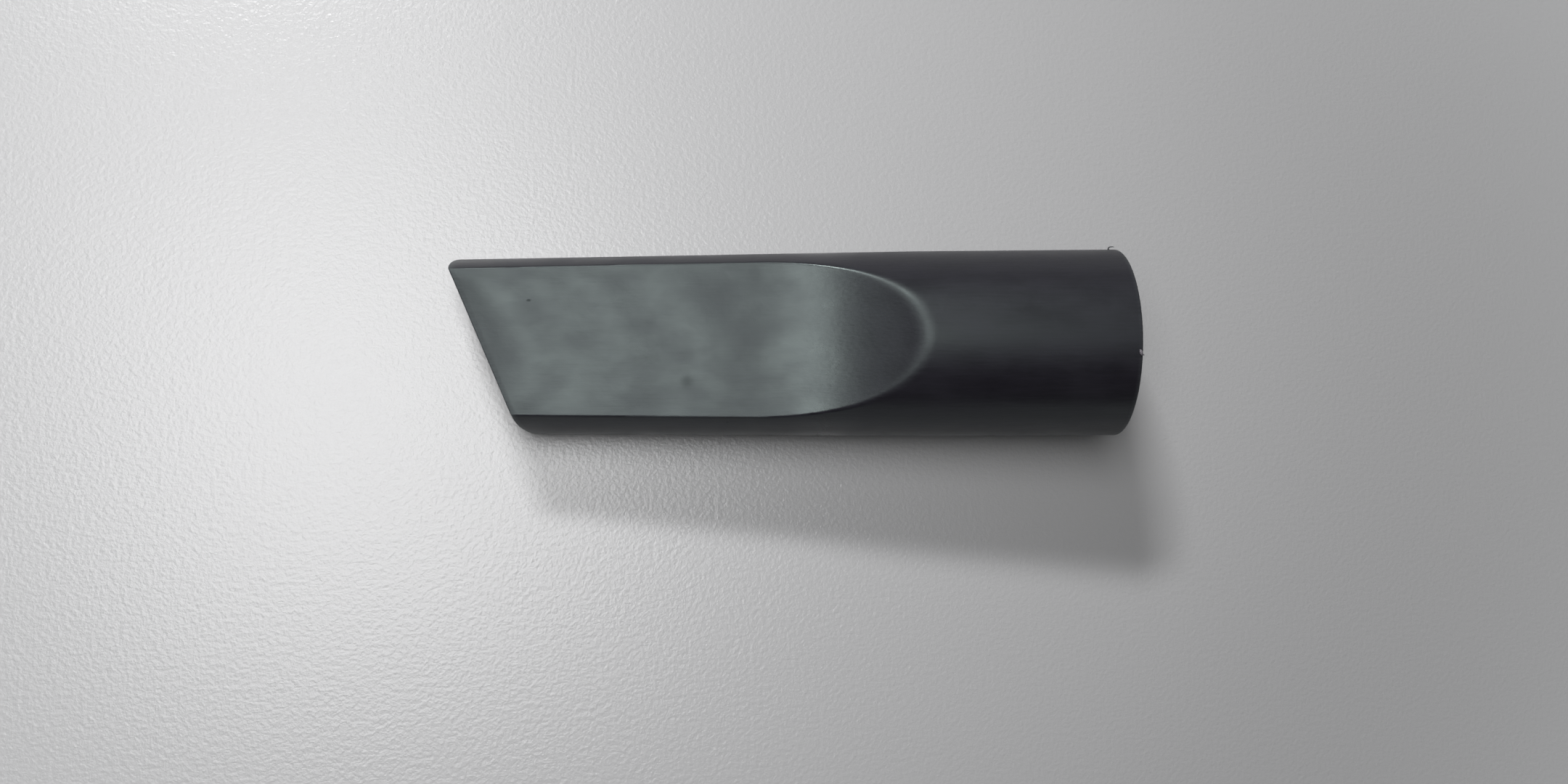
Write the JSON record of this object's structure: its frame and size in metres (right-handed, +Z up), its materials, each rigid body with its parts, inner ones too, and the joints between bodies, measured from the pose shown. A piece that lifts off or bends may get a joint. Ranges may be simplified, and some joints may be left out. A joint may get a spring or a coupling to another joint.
{
  "type": "short vacuum nozzle",
  "caption": "Short crevice nozzle, moulded in one piece: a round push-on socket that sweeps down to a flat spout with a slanted mouth.",
  "frame": {"origin": "centre of the box round the lying nozzle, on the surface it lies on", "axes": "+X towards the socket, which rises by about six degrees, +Y towards the mouth's long side, +Z up"},
  "size_m": [0.1382, 0.0388, 0.0427],
  "materials": {
    "charcoal_plastic": "moulded charcoal plastic with a dull sheen, faintly streaked along its length"
  },
  "bodies": {
    "root": {"nozzle": "charcoal_plastic"}
  },
  "joints": []
}
